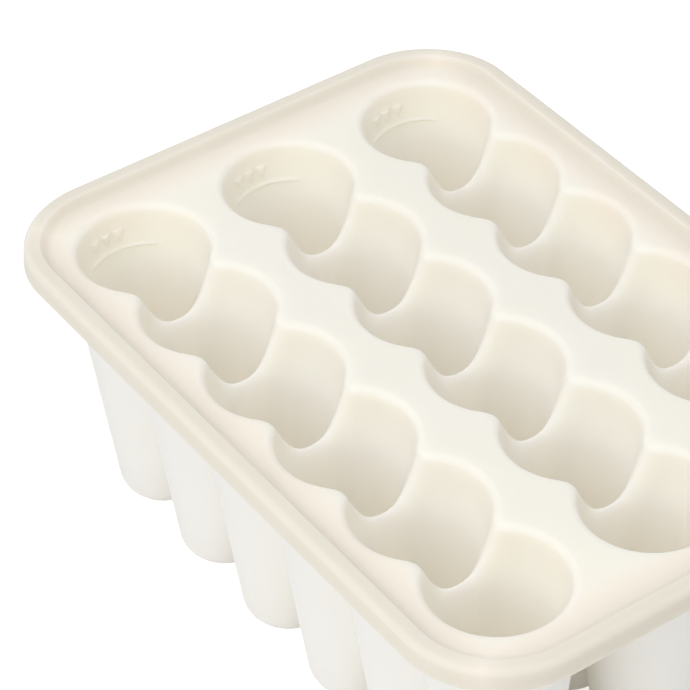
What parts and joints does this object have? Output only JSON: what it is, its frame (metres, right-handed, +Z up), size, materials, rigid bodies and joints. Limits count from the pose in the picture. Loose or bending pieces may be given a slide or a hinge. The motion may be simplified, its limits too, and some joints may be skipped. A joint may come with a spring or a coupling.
{
  "type": "baby food freezer tray",
  "caption": "Soft silicone freezing tray with rows of overlapping tapered round wells under a raised rim bead; holds baby food portions for freezing.",
  "frame": {"origin": "centre of the footprint, at the table under the cup feet", "axes": "+X along the rows, away from the wells with the fill line; +Y from the front row to the back row; +Z up out of the wells"},
  "size_m": [0.1272, 0.0886, 0.0503],
  "materials": {
    "silicone": "matt, slightly translucent silicone"
  },
  "bodies": {
    "root": {"rim": "silicone", "deck_front": "silicone", "deck_inner_front": "silicone", "deck_inner_back": "silicone", "deck_back": "silicone", "cup_front_1": "silicone", "cup_front_2": "silicone", "cup_front_3": "silicone", "cup_front_4": "silicone", "cup_front_5": "silicone", "cup_front_6": "silicone", "cup_middle_1": "silicone", "cup_middle_2": "silicone", "cup_middle_3": "silicone", "cup_middle_4": "silicone", "cup_middle_5": "silicone", "cup_middle_6": "silicone", "cup_back_1": "silicone", "cup_back_2": "silicone", "cup_back_3": "silicone", "cup_back_4": "silicone", "cup_back_5": "silicone", "cup_back_6": "silicone", "fill_line_front": "silicone", "fill_line_middle": "silicone", "fill_line_back": "silicone"}
  },
  "joints": []
}
